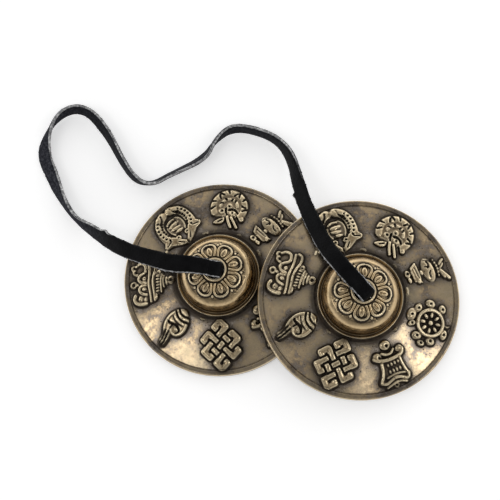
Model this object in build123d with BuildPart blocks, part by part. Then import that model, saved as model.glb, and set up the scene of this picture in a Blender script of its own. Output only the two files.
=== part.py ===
from build123d import *
import math
import os

# A pair of tingsha: two small cast hand cymbals, joined by one leather strap.
# They lie on a surface, the right cymbal leaning on the left one.
# Millimetres, +Z up. The origin is on that surface, midway between the two cymbals.

# Where the two cymbals lie
cymbal_spacing = 46.0
pair_bearing = -9.07
lean_bearing = -7.1
left_turn = 22.5
rest_gap = 0.3

# The casting, as radii and heights above the plane that its rim stands on
cymbal_diameter = 65.0
rim_thickness = 3.0
rim_round = 0.4
rim_land = 1.1
rim_band = 1.6
rim_step = 0.2
flange_height = 6.3
flange_wall = 2.7
ring_diameter = 27.4
ring_width = 1.9
ring_height = 7.5
ring_foot = 0.5
rosette_diameter = 19.2
rosette_height = 13.4
flank_bulge = 0.4
crown_height = 15.4
crown_bulge = 0.3
lip_diameter = 7.8
lip_height = 16.0
lip_round = 0.25
hole_diameter = 6.0

# The hollow under the boss
hollow_mouth_diameter = 19.6
hollow_mouth_height = 4.4
hollow_bulge = 0.7
ceiling_diameter = 11.6
ceiling_height = 12.6

# Raised ornament
relief_height = 0.9
relief_sink = 0.6
symbol_size = 12.4
symbol_circle_diameter = 45.6
ball_sides = 12
petal_height = 0.45
petal_length = 5.2
petal_width = 4.6
petal_circle_diameter = 13.4
petal_slit = 0.55
petal_count = 8

# The strap and its two knots
strap_width = 5.4
strap_thickness = 1.5
floor_gap = 0.4
pivot_lift = 1.2
neck_diameter = 3.2
neck_gap = 0.3
left_exit_rise = 25.0
right_exit_rise = 14.0
left_exit_bearing = 174.0
right_exit_bearing = 134.0
knot_diameter = 10.0
knot_height = 6.0
knot_round = 2.3
knot_gap = 0.3
wrap_diameter = 2.6
wrap_lean = 10.0
tail_reach = 7.2
tail_width = 4.6

# Places that follow from those sizes
rim_radius = cymbal_diameter / 2
land_radius = rim_radius - rim_round
ring_radius = ring_diameter / 2
rosette_radius = rosette_diameter / 2
symbol_radius = symbol_circle_diameter / 2
pivot_height = lip_height + pivot_lift
flange_inner_radius = ring_radius + ring_foot
flange_outer_radius = rim_radius - rim_band
flange_edge_height = rim_thickness - rim_step
lean_rise = flange_height + relief_height + rest_gap
lean = math.degrees(math.asin(lean_rise / (2 * land_radius)))


def flange_points(rise):
    """Inner and outer ends of the flange's face, lifted by rise."""
    return [
        (flange_inner_radius, flange_height + rise),
        (flange_outer_radius, flange_edge_height + rise),
    ]


def crown_points(rise):
    """Outer, middle and inner points of the crown that carries the rosette."""
    middle_radius = (rosette_radius + lip_diameter / 2) / 2
    middle_height = (rosette_height + crown_height) / 2 + crown_bulge
    return [
        (rosette_radius, rosette_height + rise),
        (middle_radius, middle_height + rise),
        (lip_diameter / 2, crown_height + rise),
    ]


def draw_rim():
    """Land, rounded edge and border band of the rim, from below to above."""
    Line((land_radius - rim_land, 0), (land_radius, 0))
    Line((land_radius, 0), (rim_radius, rim_round))
    Line((rim_radius, rim_round), (rim_radius, rim_thickness - rim_round))
    Line((rim_radius, rim_thickness - rim_round), (land_radius, rim_thickness))
    Line((land_radius, rim_thickness), (flange_outer_radius + rim_step, rim_thickness))
    Line((flange_outer_radius + rim_step, rim_thickness), flange_points(0)[1])


def draw_ring():
    """The bead round the foot of the boss, and the flank up to the rosette."""
    inner_radius = ring_radius - ring_width
    bead_radius = ring_radius - ring_width / 2
    foot = (inner_radius, flange_height + ring_foot)
    flank_radius = (inner_radius + rosette_radius) / 2 + flank_bulge
    flank_height = (flange_height + ring_foot + rosette_height) / 2
    Line(flange_points(0)[0], (ring_radius, flange_height + ring_foot))
    ThreePointArc((ring_radius, flange_height + ring_foot), (bead_radius, ring_height), foot)
    ThreePointArc(foot, (flank_radius, flank_height), crown_points(0)[0])


def draw_lip():
    """The raised lip, and the hole's wall down to the ceiling of the hollow."""
    lip_radius = lip_diameter / 2
    hole_radius = hole_diameter / 2
    Line((lip_radius, crown_height), (lip_radius, lip_height - lip_round))
    Line((lip_radius, lip_height - lip_round), (lip_radius - lip_round, lip_height))
    Line((lip_radius - lip_round, lip_height), (hole_radius + lip_round, lip_height))
    Line((hole_radius + lip_round, lip_height), (hole_radius, lip_height - lip_round))
    Line((hole_radius, lip_height - lip_round), (hole_radius, ceiling_height))
    Line((hole_radius, ceiling_height), (ceiling_diameter / 2, ceiling_height))


def draw_hollow():
    """The underside: domed hollow, then the flange's lower face out to the land."""
    mouth_radius = hollow_mouth_diameter / 2
    wall_radius = (mouth_radius + ceiling_diameter / 2) / 2 + hollow_bulge
    wall_height = (hollow_mouth_height + ceiling_height) / 2 + hollow_bulge
    under = flange_points(-flange_wall)
    ceiling_edge = (ceiling_diameter / 2, ceiling_height)
    ThreePointArc(ceiling_edge, (wall_radius, wall_height), (mouth_radius, hollow_mouth_height))
    Line((mouth_radius, hollow_mouth_height), under[0])
    Line(*under)
    Line(under[1], (land_radius - rim_land, 0))


def place_symbol(bearing):
    """Where a symbol stands on the flange: its own +Y points out to the rim."""
    angle = math.radians(bearing)
    centre = (symbol_radius * math.cos(angle), symbol_radius * math.sin(angle), 0)
    return Locations(Location(centre, (0, 0, bearing - 90)))


def draw_wheel(size):
    """Eight-spoked wheel with a lobe at the end of every spoke."""
    tyre_share, felloe_share, hub_share, spoke_share, lobe_share = 0.37, 0.26, 0.1, 0.06, 0.09
    spoke_count = 8
    Circle(size * tyre_share)
    Circle(size * felloe_share, mode=Mode.SUBTRACT)
    Circle(size * hub_share)
    with PolarLocations(size * tyre_share / 2, spoke_count):
        Rectangle(size * tyre_share, size * spoke_share)
    with PolarLocations(size * (tyre_share + lobe_share / 2), spoke_count):
        Circle(size * lobe_share)


def draw_vase(size):
    """Vase with a ball foot, a round body and a spreading mouth."""
    ball_share, ball_place_share, body_share = 0.1, 0.37, 0.22
    foot_shares = [(-0.08, -0.3), (0.08, -0.3), (0.24, -0.12), (-0.24, -0.12)]
    mouth_shares = [(-0.12, 0.12), (0.12, 0.12), (0.3, 0.48), (-0.3, 0.48)]
    with Locations((0, -size * ball_place_share)):
        RegularPolygon(size * ball_share, ball_sides)
    with Locations((0, size * ball_share / 2)):
        Circle(size * body_share)
    Polygon(*[(size * x, size * y) for x, y in foot_shares], align=None)
    Polygon(*[(size * x, size * y) for x, y in mouth_shares], align=None)


def draw_lotus(size):
    """Lotus flower: a round heart, a fan of petals and two leaves."""
    heart_share, petal_long_share, petal_wide_share, ring_share = 0.24, 0.17, 0.11, 0.3
    Circle(size * heart_share)
    with PolarLocations(size * ring_share, 6, start_angle=-18, angular_range=216, endpoint=True):
        Ellipse(size * petal_long_share, size * petal_wide_share)
    with PolarLocations(size * ring_share, 2, start_angle=-112, angular_range=44, endpoint=True):
        Ellipse(size * petal_long_share, size * petal_wide_share / 2)


def draw_fish(size):
    """Two fish that curl round each other, nose to tail."""
    back_share, belly_share, gap_share, heart_share = 0.44, 0.25, 0.07, 0.15
    tail_shares = [(0.3, 0.1), (0.52, 0.3), (0.26, 0.4)]
    Circle(size * back_share)
    Circle(size * belly_share, mode=Mode.SUBTRACT)
    Rectangle(size, size * gap_share, rotation=52, mode=Mode.SUBTRACT)
    Ellipse(size * heart_share, size * heart_share / 2, rotation=30)
    Polygon(*[(size * x, size * y) for x, y in tail_shares], align=None)
    Polygon(*[(-size * x, -size * y) for x, y in tail_shares], align=None)


def draw_parasol(size):
    """Parasol: a ball finial, a pleated cover and hanging ribbons."""
    cover_share, ball_share, ball_place_share, ribbon_share = 0.29, 0.08, 0.42, 0.12
    valance_shares = [(-0.36, 0.02), (0.36, 0.02), (0.42, 0.26), (-0.42, 0.26)]
    with Locations((0, -size * ball_share)):
        Circle(size * cover_share)
    with Locations((0, -size * ball_place_share)):
        RegularPolygon(size * ball_share, ball_sides)
    Polygon(*[(size * x, size * y) for x, y in valance_shares], align=None)
    with GridLocations(size * cover_share * 2, 0, 2, 1):
        with Locations((0, size * cover_share)):
            Rectangle(size * ribbon_share * 3 / 2, size * ribbon_share * 2)


def draw_conch(size):
    """Conch shell: a round coil with a long ribbed tail."""
    coil_long_share, coil_wide_share = 0.32, 0.24
    tail_shares = [(-0.1, 0.24), (-0.3, 0.02), (-0.54, 0.16), (-0.5, 0.34), (-0.3, 0.4)]
    with Locations((size * coil_wide_share / 2, 0)):
        Ellipse(size * coil_long_share, size * coil_wide_share, rotation=-20)
    Polygon(*[(size * x, size * y) for x, y in tail_shares], align=None)


def draw_knot(size):
    """Endless knot: three bands each way, woven into a square lattice."""
    band_share, reach_share, pitch_share = 0.14, 0.86, 0.34
    with GridLocations(0, size * pitch_share, 1, 3):
        Rectangle(size * reach_share, size * band_share)
    with GridLocations(size * pitch_share, 0, 3, 1):
        Rectangle(size * band_share, size * reach_share)


def draw_banner(size):
    """Victory banner: ball, scrolled shoulders, ribbed body and flared foot."""
    ball_share, body_share, scroll_share = 0.08, 0.3, 0.11
    foot_shares = [(-0.16, 0.1), (0.16, 0.1), (0.46, 0.36), (0.3, 0.48), (-0.3, 0.48), (-0.46, 0.36)]
    with Locations((0, -size * 5 * ball_share)):
        RegularPolygon(size * ball_share, ball_sides)
    Rectangle(size * body_share, size * 2 * body_share)
    with GridLocations(size * 2 * body_share, 0, 2, 1):
        with Locations((0, -size * body_share * 2 / 3)):
            Circle(size * scroll_share)
    Rectangle(size * 2 * body_share, size * scroll_share)
    Polygon(*[(size * x, size * y) for x, y in foot_shares], align=None)


# Each symbol with its bearing round the cymbal
symbols = [
    (draw_wheel, -19),
    (draw_vase, 23),
    (draw_lotus, 63),
    (draw_fish, 109),
    (draw_parasol, 163.5),
    (draw_conch, 206),
    (draw_knot, 251),
    (draw_banner, 296),
]

# One casting, with its ornament, standing on its rim at the origin
with BuildPart() as symbol_relief:
    with BuildSketch():
        for draw, bearing in symbols:
            with place_symbol(bearing):
                draw(symbol_size)
    extrude(amount=lip_height)
    with BuildSketch(Plane.XZ):
        with BuildLine():
            Line(*flange_points(relief_height))
            Line(*flange_points(-relief_sink))
            Line(flange_points(-relief_sink)[0], flange_points(relief_height)[0])
            Line(flange_points(-relief_sink)[1], flange_points(relief_height)[1])
        make_face()
    revolve(axis=Axis.Z, mode=Mode.INTERSECT)

with BuildPart() as rosette_relief:
    with BuildSketch():
        with PolarLocations(petal_circle_diameter / 2, petal_count):
            Ellipse(petal_length / 2, petal_width / 2)
            with Locations((-petal_length / 4, 0)):
                Rectangle(petal_length / 2, petal_slit, mode=Mode.SUBTRACT)
    extrude(amount=lip_height + relief_height)
    with BuildSketch(Plane.XZ):
        with BuildLine():
            ThreePointArc(*crown_points(petal_height))
            ThreePointArc(*crown_points(-relief_sink))
            Line(crown_points(-relief_sink)[0], crown_points(petal_height)[0])
            Line(crown_points(-relief_sink)[2], crown_points(petal_height)[2])
        make_face()
    revolve(axis=Axis.Z, mode=Mode.INTERSECT)

with BuildPart() as casting:
    with BuildSketch(Plane.XZ):
        with BuildLine():
            draw_rim()
            Line(*flange_points(0))
            draw_ring()
            ThreePointArc(*crown_points(0))
            draw_lip()
            draw_hollow()
        make_face()
    revolve(axis=Axis.Z)
    add(symbol_relief.part)
    add(rosette_relief.part)

# The two places: the left cymbal flat, the right one tipped away from it
half_spacing = Vector(cymbal_spacing / 2, 0, 0).rotate(Axis.Z, pair_bearing)
lean_axis = Vector(0, 1, 0).rotate(Axis.Z, lean_bearing)
right_up = Vector(0, 0, 1).rotate(Axis((0, 0, 0), lean_axis), lean)
right_x = Vector(1, 0, 0).rotate(Axis((0, 0, 0), lean_axis), lean)
right_centre = half_spacing + Vector(0, 0, land_radius * math.sin(math.radians(lean)))
left_centre = half_spacing * -1
left_place = Location(Plane(left_centre, x_dir=Vector(1, 0, 0).rotate(Axis.Z, left_turn)))
right_place = Location(Plane(right_centre, x_dir=right_x, z_dir=right_up))
left_pivot = left_centre + Vector(0, 0, pivot_height)
right_pivot = right_centre + right_up * pivot_height

with BuildPart() as left_cymbal:
    with Locations(left_place):
        add(casting.part)

with BuildPart() as right_cymbal:
    with Locations(right_place):
        add(casting.part)

# A knot under the ceiling of the hollow, with a neck that fills the hole loosely
with BuildPart() as knot:
    knot_top = ceiling_height - knot_gap
    with BuildSketch(Plane.XY.offset(knot_top - knot_height)):
        Circle(knot_diameter / 2)
    extrude(amount=knot_height)
    fillet(knot.edges(), knot_round)
    wrap_plane = Plane.XY.offset(knot_top - knot_height / 2).rotated((wrap_lean, 0, 0))
    with Locations(Location(wrap_plane)):
        Torus(knot_diameter / 2 - wrap_diameter / 4, wrap_diameter / 2)
    with Locations((tail_reach / 2, 0, knot_top - knot_height / 2)):
        Box(tail_reach, tail_width, strap_thickness)
    with BuildSketch(Plane.XY.offset(knot_top - knot_height / 2)):
        Circle(neck_diameter / 2)
    extrude(amount=pivot_height - knot_top + knot_height / 2)
    with Locations((0, 0, pivot_height)):
        Sphere(neck_diameter / 2)

with BuildPart() as left_knot:
    with Locations(Location(Plane(left_centre))):
        add(knot.part)

with BuildPart() as right_knot:
    with Locations(right_place):
        add(knot.part)


def floor_height(leaning):
    """Height of the strap's centre where it lies on the surface, leaning from upright."""
    turned = math.radians(leaning)
    upright_part = strap_width / 2 * abs(math.cos(turned))
    flat_part = strap_thickness / 2 * abs(math.sin(turned))
    return upright_part + flat_part + floor_gap


def exit_point(pivot, bearing, rise):
    """Where the strap's end stands off a knot's neck, and the way that it leaves."""
    outward = Vector(1, 0, 0).rotate(Axis.Y, -rise).rotate(Axis.Z, bearing)
    return pivot + outward * (neck_diameter / 2 + neck_gap), outward


# The strap's route, chosen by hand: x, y, height and lean from upright in degrees.
# A height of None lies on the surface.
free_route = [
    (-36.3, 4.8, 19.0, 80),
    (-43.8, 7.4, 16.4, 74),
    (-51.8, 10.3, 13.4, 66),
    (-59.4, 14.3, 9.8, 54),
    (-66.4, 19.1, 6.0, 36),
    (-72.8, 23.3, None, 10),
    (-78.0, 30.1, None, 26),
    (-82.5, 38.9, None, 54),
    (-87.2, 47.9, None, 68),
    (-85.5, 56.1, None, 30),
    (-82.1, 61.7, None, 4),
    (-77.1, 64.4, None, -8),
    (-71.9, 63.3, None, -22),
    (-67.9, 59.8, None, -34),
    (-62.8, 52.9, None, -28),
    (-58.2, 44.7, None, -24),
    (-53.3, 37.7, None, -14),
    (-47.2, 36.0, None, 28),
    (-40.8, 39.7, None, 28),
    (-29.3, 45.3, None, 38),
    (-26.0, 51.8, None, 12),
    (-20.5, 56.4, None, -6),
    (-12.7, 55.5, None, -7),
    (-4.0, 51.6, None, -14),
    (0.8, 44.2, 4.4, -34),
    (3.1, 34.6, 8.2, -48),
    (6.6, 23.2, 13.0, -60),
    (11.9, 12.4, 17.4, -70),
    (15.8, 6.2, 20.8, -82),
]


def strap_points():
    """Every corner of the strap's path, with its lean, from the left knot to the right."""
    start, start_way = exit_point(left_pivot, left_exit_bearing, left_exit_rise)
    finish, finish_way = exit_point(right_pivot, right_exit_bearing, right_exit_rise)
    first = start + start_way * strap_width
    last = finish + finish_way * strap_width
    corners = [(start, 90), (first, 88)]
    for x, y, height, leaning in free_route:
        corners.append((Vector(x, y, floor_height(leaning) if height is None else height), leaning))
    return corners + [(last, -90), (finish, -90)]


def across(way, leaning):
    """The strap's width direction on a run, leaning from upright about that run."""
    level = way.cross(Vector(0, 0, 1)).normalized()
    upright = level.cross(way).normalized()
    turned = math.radians(leaning)
    return upright * math.cos(turned) + level * math.sin(turned)


def nearer(width_way, other):
    """The same width direction, on the side that is nearer to another one."""
    return width_way if width_way.dot(other) >= 0 else width_way * -1


corners = strap_points()
ways = [(b[0] - a[0]).normalized() for a, b in zip(corners, corners[1:])]
runs = [(b[0] - a[0]).length for a, b in zip(corners, corners[1:])]
bend_share = 0.45
strap_length = 0.0
bend_radii = []

# The strap: straight twisted runs, joined by arcs that carry its section round
with BuildPart() as strap:
    place = corners[0][0]
    width_way = across(ways[0], corners[0][1])
    for number in range(len(runs)):
        way = ways[number]
        last_run = number == len(runs) - 1
        trim = 0.0 if last_run else bend_share * min(runs[number], runs[number + 1])
        end_place = corners[number + 1][0] - way * trim
        end_width_way = nearer(across(way, corners[number + 1][1]), width_way)
        with BuildSketch(Plane(place, x_dir=width_way, z_dir=way)):
            Rectangle(strap_width, strap_thickness)
        with BuildSketch(Plane(end_place, x_dir=end_width_way, z_dir=way)):
            Rectangle(strap_width, strap_thickness)
        loft(ruled=True)
        strap_length += (end_place - place).length
        if last_run:
            break
        turn = way.get_angle(ways[number + 1])
        bend_radius = trim / math.tan(math.radians(turn) / 2)
        bend_axis = way.cross(ways[number + 1]).normalized()
        bend_centre = end_place + bend_axis.cross(way) * bend_radius
        with BuildSketch(Plane(end_place, x_dir=end_width_way, z_dir=way)):
            Rectangle(strap_width, strap_thickness)
        revolve(axis=Axis(bend_centre, bend_axis), revolution_arc=turn)
        strap_length += math.radians(turn) * bend_radius
        bend_radii.append(bend_radius)
        place = corners[number + 1][0] + ways[number + 1] * trim
        width_way = end_width_way.rotate(Axis((0, 0, 0), bend_axis), turn)

print("strap length", round(strap_length, 1), "tightest bend", round(min(bend_radii), 1))
print("bend radii", [round(radius, 1) for radius in bend_radii])
plain_volume = strap_width * strap_thickness * strap_length
print("strap volume over section times length", round(strap.part.volume / plain_volume, 4))
print("lean", round(lean, 3), "left pivot", left_pivot, "right pivot", right_pivot)
print("right way up", right_up)

os.makedirs("parts", exist_ok=True)
left_cymbal.part.label = "left_cymbal"
export_step(left_cymbal.part, "parts/left_cymbal.step")
right_cymbal.part.label = "right_cymbal"
export_step(right_cymbal.part, "parts/right_cymbal.step")
left_knot.part.label = "left_knot"
export_step(left_knot.part, "parts/left_knot.step")
right_knot.part.label = "right_knot"
export_step(right_knot.part, "parts/right_knot.step")
strap.part.label = "strap"
export_step(strap.part, "parts/strap.step")
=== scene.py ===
import math

import bpy
import numpy as np
from mathutils import Matrix, Vector


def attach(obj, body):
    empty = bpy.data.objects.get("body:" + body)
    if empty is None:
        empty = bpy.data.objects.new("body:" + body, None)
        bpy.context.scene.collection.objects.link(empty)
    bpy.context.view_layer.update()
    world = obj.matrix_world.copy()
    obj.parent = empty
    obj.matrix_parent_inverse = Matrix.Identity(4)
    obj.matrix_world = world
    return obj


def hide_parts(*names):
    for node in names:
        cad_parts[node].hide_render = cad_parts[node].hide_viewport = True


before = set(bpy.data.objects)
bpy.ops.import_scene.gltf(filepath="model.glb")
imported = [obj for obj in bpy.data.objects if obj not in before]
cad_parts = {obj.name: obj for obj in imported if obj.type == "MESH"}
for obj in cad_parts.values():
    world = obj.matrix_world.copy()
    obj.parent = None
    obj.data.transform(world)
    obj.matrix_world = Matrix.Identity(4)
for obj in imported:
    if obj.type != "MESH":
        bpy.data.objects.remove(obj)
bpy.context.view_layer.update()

# Camera
# Set from the ellipses of the two rims in the photograph: 75 degrees up and 320 mm off,
# with no roll.
MM = 0.001
camera_place = Vector((22.58, -59.50, 309.43)) * MM
camera_target = Vector((-13.26, 13.78, 0.0)) * MM
sensor_width = 36.0
frame_width_px = 500.0
focal_length_px = 951.0
camera_data = bpy.data.cameras.new("camera")
camera_data.sensor_width = sensor_width
camera_data.lens = focal_length_px / frame_width_px * sensor_width
camera_data.clip_start = 10 * MM
camera = bpy.data.objects.new("camera", camera_data)
bpy.context.scene.collection.objects.link(camera)
bpy.context.scene.camera = camera
camera_back = (camera_place - camera_target).normalized()
camera_right = (Vector((1, 0, 0)) - camera_back * camera_back.x).normalized()
camera_up = camera_back.cross(camera_right)
turned = Matrix((camera_right, camera_up, camera_back)).transposed().to_4x4()
camera.matrix_world = Matrix.Translation(camera_place) @ turned


# Strap
# One flat thong of black leather, cut from a smooth hide, so its edges are grey and fibrous.
# It lies in loose curves, half on the surface, and its two ends go down through the holes.
def row(points):
    """Points in millimetres as an array."""
    return np.array(points, float)


def unit(vectors):
    """Each vector at length one."""
    return vectors / np.linalg.norm(vectors, axis=-1, keepdims=True)


def rotated(vector, axis, degrees):
    """One vector turned about an axis."""
    return row(Matrix.Rotation(math.radians(degrees), 3, Vector(axis)) @ Vector(vector))


# where the cymbals lie: the right one stands on the edge of its rim and leans on the left one
cymbal_spacing = 46.0
pair_bearing = -9.07
lean_bearing = -7.1
lean = 6.709
land_radius = 32.1
pivot_height = 17.2
upward = row((0, 0, 1))
pair_half = rotated((cymbal_spacing / 2, 0, 0), upward, pair_bearing)
lean_axis = rotated((0, 1, 0), upward, lean_bearing)
left_centre = -pair_half
right_centre = pair_half + upward * land_radius * math.sin(math.radians(lean))
right_up = rotated(upward, lean_axis, lean)
right_x = rotated((1, 0, 0), lean_axis, lean)
left_pivot = left_centre + upward * pivot_height
right_pivot = right_centre + right_up * pivot_height


def leaving(bearing, rise):
    """The way the strap leaves a hole."""
    b, r = math.radians(bearing), math.radians(rise)
    return row((math.cos(b) * math.cos(r), math.sin(b) * math.cos(r), math.sin(r)))


left_way = leaving(174.0, 25.0)
right_way = leaving(134.0, 14.0)
strap_width = 5.4
strap_thickness = 1.5
strap_end_gap = 1.9
floor_gap = 0.4


def lying(degrees):
    """Height of the strap's centre on the surface, when it leans this far from upright."""
    a = math.radians(degrees)
    return strap_width / 2 * abs(math.cos(a)) + strap_thickness / 2 * abs(math.sin(a)) + floor_gap


# x, y, height and lean from upright; None lies on the surface
strap_route = [
    (*(left_pivot + left_way * strap_end_gap), 90),
    (*(left_pivot + left_way * (strap_end_gap + strap_width)), 88),
    (-36.3, 4.8, 19.0, 80),
    (-43.8, 7.4, 16.4, 74),
    (-51.8, 10.3, 13.4, 66),
    (-59.4, 14.3, 9.8, 54),
    (-66.4, 19.1, 6.0, 36),
    (-72.8, 23.3, None, 10),
    (-78.0, 30.1, None, 26),
    (-82.5, 38.9, None, 54),
    (-87.2, 47.9, None, 68),
    (-85.5, 56.1, None, 30),
    (-82.1, 61.7, None, 4),
    (-77.1, 64.4, None, -8),
    (-71.9, 63.3, None, -22),
    (-67.9, 59.8, None, -34),
    (-62.8, 52.9, None, -28),
    (-58.2, 44.7, None, -24),
    (-53.3, 37.7, None, -14),
    (-47.2, 36.0, None, 28),
    (-40.8, 39.7, None, 28),
    (-29.3, 45.3, None, 38),
    (-26.0, 51.8, None, 12),
    (-20.5, 56.4, None, -6),
    (-12.7, 55.5, None, -7),
    (-4.0, 51.6, None, -14),
    (0.8, 44.2, 4.4, -34),
    (3.1, 34.6, 8.2, -48),
    (6.6, 23.2, 13.0, -60),
    (11.9, 12.4, 17.4, -70),
    (15.8, 6.2, 20.8, -82),
    (*(right_pivot + right_way * (strap_end_gap + strap_width)), -90),
    (*(right_pivot + right_way * strap_end_gap), -90),
]
strap_route = [(x, y, lying(a) if z is None else z, a) for x, y, z, a in strap_route]
route_data = bpy.data.curves.new("strap_route", "CURVE")
route_data.dimensions = "3D"
route_data.resolution_u = 16
route_spline = route_data.splines.new("NURBS")
route_spline.points.add(len(strap_route) - 1)
for point, (x, y, z, a) in zip(route_spline.points, strap_route):
    point.co = (x * MM, y * MM, z * MM, 1.0)
route_spline.order_u = 3
route_spline.use_endpoint_u = True
route_object = bpy.data.objects.new("strap_route", route_data)
bpy.context.scene.collection.objects.link(route_object)
route_mesh = bpy.data.meshes.new_from_object(route_object)
route_line = row([v.co for v in route_mesh.vertices]) / MM
bpy.data.objects.remove(route_object)
bpy.data.meshes.remove(route_mesh)


def along(points):
    """Length travelled at each point."""
    steps = np.linalg.norm(np.diff(points, axis=0), axis=1)
    return np.concatenate([[0.0], np.cumsum(steps)])


def resampled(points, spacing, values):
    """The same line with even steps, and values carried along it."""
    travelled = along(points)
    places = np.linspace(0, travelled[-1], int(travelled[-1] / spacing) + 1)
    line = np.stack([np.interp(places, travelled, points[:, k]) for k in range(3)], axis=1)
    return line, np.interp(places, travelled, values)


def softened(values, rounds):
    """Values averaged with their neighbours along a line, ends kept."""
    values = values.copy()
    for _ in range(rounds):
        values[1:-1] = (values[:-2] + 2 * values[1:-1] + values[2:]) / 4
    return values


def wander(count, spacing, amount, seed):
    """Smooth random waviness along a line."""
    knots = np.random.default_rng(seed).normal(0, 1, max(int(count / spacing), 2) + 4)
    places = np.linspace(1, len(knots) - 2, count)
    return softened(np.interp(places, np.arange(len(knots)), knots), int(spacing)) * amount


points_around = 28


def thong(name, line, width_ways, half_widths, half_thickness, cup, seed, edge_shares=(0.8, 0.8)):
    """A flat leather strip along a line. Cup bends its width round, as radians per millimetre."""
    count, around = len(line), points_around
    half_widths = [np.broadcast_to(side, count) for side in half_widths]
    edge_shares = [np.broadcast_to(side, count) for side in edge_shares]
    ways = unit(np.gradient(line, axis=0))
    sides = unit(width_ways - ways * np.sum(width_ways * ways, axis=1, keepdims=True))
    faces_up = np.cross(sides, ways)
    # a rounded oblong section, squarer across than through
    angles = (np.arange(around) + 0.5) / around * 2 * math.pi
    across = np.sign(np.cos(angles)) * np.abs(np.cos(angles)) ** 0.42
    through = np.sign(np.sin(angles)) * np.abs(np.sin(angles)) ** 0.55
    points = np.zeros((count, around, 3))
    edge = np.zeros((count, around))
    fibres = np.random.default_rng(seed)
    tuft_share, tuft_reach = 0.05, (0.1, 0.42)
    seam_width, seam_share = 0.3, 0.75
    edge_start, edge_fade = 0.86, 0.12
    least_cup = 0.001
    seam = [wander(count, 9, 0.28, seed + 130 + far) for far in (0, 1)]
    for k in range(around):
        rough = abs(across[k]) ** 6
        far = int(across[k] > 0)
        u = across[k] * (half_widths[far] + wander(count, 30, 0.12, seed + far))
        tufts = np.where(fibres.random(count) < tuft_share, fibres.uniform(*tuft_reach, count), 0)
        frayed = wander(count, 3, 0.07, seed + 10 + k) + fibres.normal(0, 0.045, count)
        u = u + rough * (frayed + np.sign(across[k]) * tufts)
        w = through[k] * half_thickness * (1 - 0.18 * rough) + wander(count, 14, 0.03, seed + 60)
        w = w + wander(count, 5, 0.02, seed + 90 + k)
        bend = np.where(np.abs(cup) < least_cup, least_cup, cup)
        lifted = (1 - np.cos(u * bend)) / bend
        slid = np.sin(u * bend) / bend
        tilt_u, tilt_w = -np.sin(u * bend) * w, np.cos(u * bend) * w
        points[:, k] = line + sides * (slid + tilt_u)[:, None] + faces_up * (lifted + tilt_w)[:, None]
        core = np.exp(-(((through[k] - seam[far]) / seam_width) ** 2)) * seam_share
        pale = np.clip((abs(across[k]) - edge_start) / edge_fade, 0, 1)
        edge[:, k] = pale * (1 - core) * edge_shares[far]
    vertices = np.concatenate([points.reshape(-1, 3), line[:1], line[-1:]])
    faces = []
    for i in range(count - 1):
        for k in range(around):
            n = (k + 1) % around
            faces.append((i * around + k, i * around + n, (i + 1) * around + n, (i + 1) * around + k))
    first_cap, last_cap = count * around, count * around + 1
    for k in range(around):
        n = (k + 1) % around
        faces.append((first_cap, n, k))
        last = (count - 1) * around
        faces.append((last_cap, last + k, last + n))
    mesh = bpy.data.meshes.new(name)
    mesh.from_pydata((vertices * MM).tolist(), [], faces)
    mesh.shade_smooth()
    suede = mesh.attributes.new("suede", "FLOAT", "POINT")
    suede.data.foreach_set("value", np.concatenate([edge.ravel(), [1, 1]]).astype(np.float32))
    made = bpy.data.objects.new(name, mesh)
    bpy.context.scene.collection.objects.link(made)
    return made


def link(tree, start, end):
    """Join two sockets, given as (node, socket name)."""
    tree.links.new(start[0].outputs[start[1]], end[0].inputs[end[1]])


def add_node(tree, kind, **settings):
    """A shader node, with its settings, and its inputs where a name starts with a capital."""
    made = tree.nodes.new("ShaderNode" + kind)
    for key, value in settings.items():
        if key[0].isupper():
            made.inputs[key.replace("_", " ")].default_value = value
        else:
            setattr(made, key, value)
    return made


def ramp(tree, source, *stops):
    """A colour ramp from a socket; stops are (place, colour)."""
    made = tree.nodes.new("ShaderNodeValToRGB")
    elements = made.color_ramp.elements
    while len(elements) < len(stops):
        elements.new(0.5)
    for element, (place, colour) in zip(elements, stops):
        element.position = place
        element.color = (*colour, 1.0)
    link(tree, source, (made, "Fac"))
    return made, "Color"


def combined(tree, operation, *sources):
    """A sum of sockets and plain numbers."""
    made = add_node(tree, "Math", operation=operation)
    for place, source in enumerate(sources):
        if isinstance(source, float):
            made.inputs[place].default_value = source
        else:
            link(tree, source, (made, place))
    return made, "Value"


def mixed(tree, share, first, second):
    """One colour socket mixed into another by a share."""
    made = add_node(tree, "MixRGB")
    for source, name in ((share, "Fac"), (first, "Color1"), (second, "Color2")):
        if isinstance(source[0], float):
            made.inputs[name].default_value = (*source, 1.0)
        else:
            link(tree, source, (made, name))
    return made, "Color"


def mapped(tree, source, **limits):
    """A socket's range stretched to another one."""
    made = add_node(tree, "MapRange", **limits)
    link(tree, source, (made, "Value"))
    return made, "Result"


def grey(value):
    """A grey colour."""
    return (value, value, value)


def open_group(name, inputs, outputs):
    """A shader node group; gives its tree, its inputs' sockets and its output node."""
    tree = bpy.data.node_groups.new(name, "ShaderNodeTree")
    for label in inputs:
        tree.interface.new_socket(label, in_out="INPUT", socket_type="NodeSocketFloat")
    for label in outputs:
        kind = "NodeSocketColor" if label == "Color" else "NodeSocketFloat"
        tree.interface.new_socket(label, in_out="OUTPUT", socket_type=kind)
    group_in = tree.nodes.new("NodeGroupInput")
    return tree, [(group_in, label) for label in inputs], tree.nodes.new("NodeGroupOutput")


def fill(tree, end, **sources):
    """Join sources to the named inputs of a node."""
    for label, source in sources.items():
        link(tree, source, (end, label))


def textures(tree, *kinds):
    """Textures that lie fixed on the object, each given as (kind, settings)."""
    coordinates = add_node(tree, "TexCoord")
    made = [add_node(tree, kind, **settings) for kind, settings in kinds]
    for texture in made:
        link(tree, (coordinates, "Object"), (texture, "Vector"))
    return made


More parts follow.
